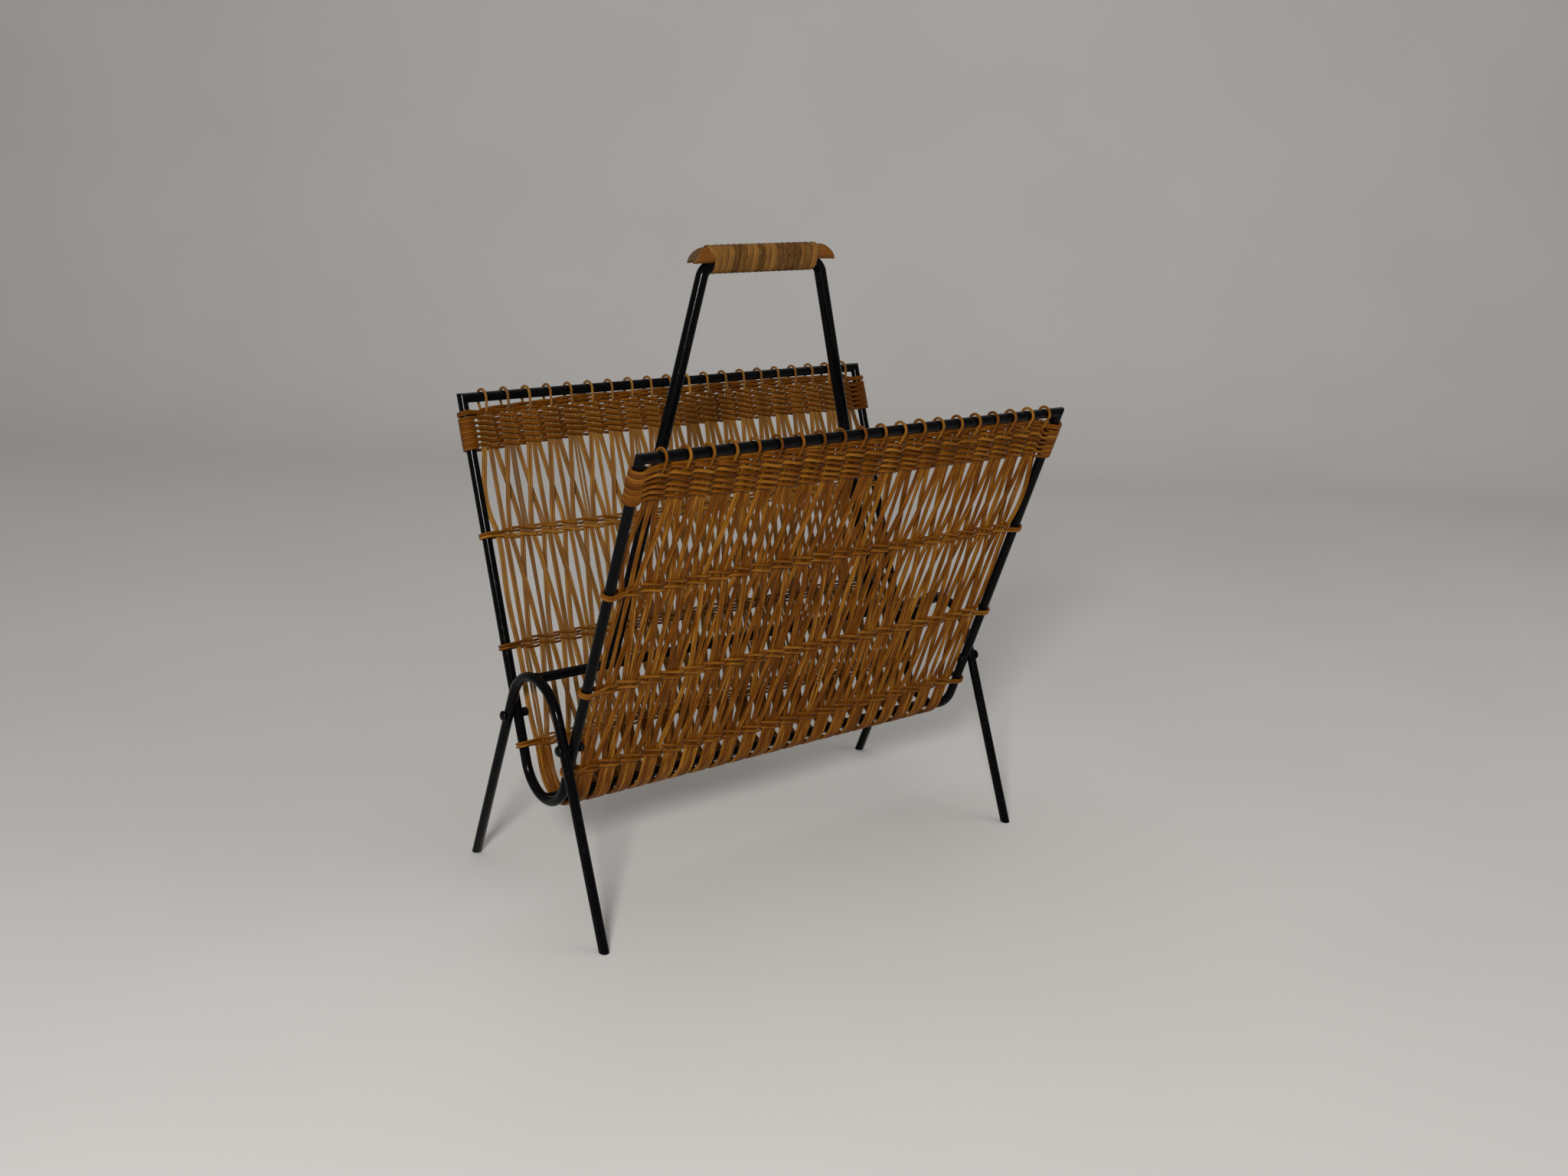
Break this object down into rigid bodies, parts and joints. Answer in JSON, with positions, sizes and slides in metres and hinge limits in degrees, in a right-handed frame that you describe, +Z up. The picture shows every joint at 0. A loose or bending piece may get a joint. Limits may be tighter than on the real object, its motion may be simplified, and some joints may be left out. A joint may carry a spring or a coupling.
{
  "type": "magazine basket",
  "caption": "Free-standing magazine basket: woven rattan panels hung in a V on a black steel rod frame with hairpin legs and a bound rattan grip.",
  "frame": {"origin": "on the floor, midway between the four feet", "axes": "+Z up, +X along the basket to the right, -Y towards the viewer, so the front panel leans out to -Y"},
  "size_m": [0.4412, 0.275, 0.5134],
  "materials": {
    "black_steel": "gloss black enamel on bent rod",
    "bolt_steel": "dull black",
    "rattan": "honey brown, varnished",
    "rattan_pole": "varnished pole, cut ends paler",
    "cane": "flat binding cane, varnished"
  },
  "bodies": {
    "root": {"left_hoop": "black_steel", "right_hoop": "black_steel", "front_rail": "black_steel", "back_rail": "black_steel", "bottom_bar": "black_steel", "left_hairpin_leg": "black_steel", "right_hairpin_leg": "black_steel", "stretcher_bar": "black_steel", "handle_bow": "black_steel", "left_front_bolt": "bolt_steel", "left_front_nut": "bolt_steel", "left_back_bolt": "bolt_steel", "left_back_nut": "bolt_steel", "right_front_bolt": "bolt_steel", "right_front_nut": "bolt_steel", "right_back_bolt": "bolt_steel", "right_back_nut": "bolt_steel", "front_stakes": "rattan", "back_stakes": "rattan", "bottom_stakes": "rattan", "front_band_1": "rattan", "front_band_2": "rattan", "front_band_3": "rattan", "front_band_4": "rattan", "front_band_5": "rattan", "front_band_6": "rattan", "front_band_7": "rattan", "back_band_1": "rattan", "back_band_2": "rattan", "back_band_3": "rattan", "back_band_4": "rattan", "back_band_5": "rattan", "back_band_6": "rattan", "back_band_7": "rattan", "front_row_1": "rattan", "front_row_2": "rattan", "back_row_1": "rattan", "back_row_2": "rattan", "grip_pole": "rattan_pole", "grip_binding": "cane"}
  },
  "joints": []
}
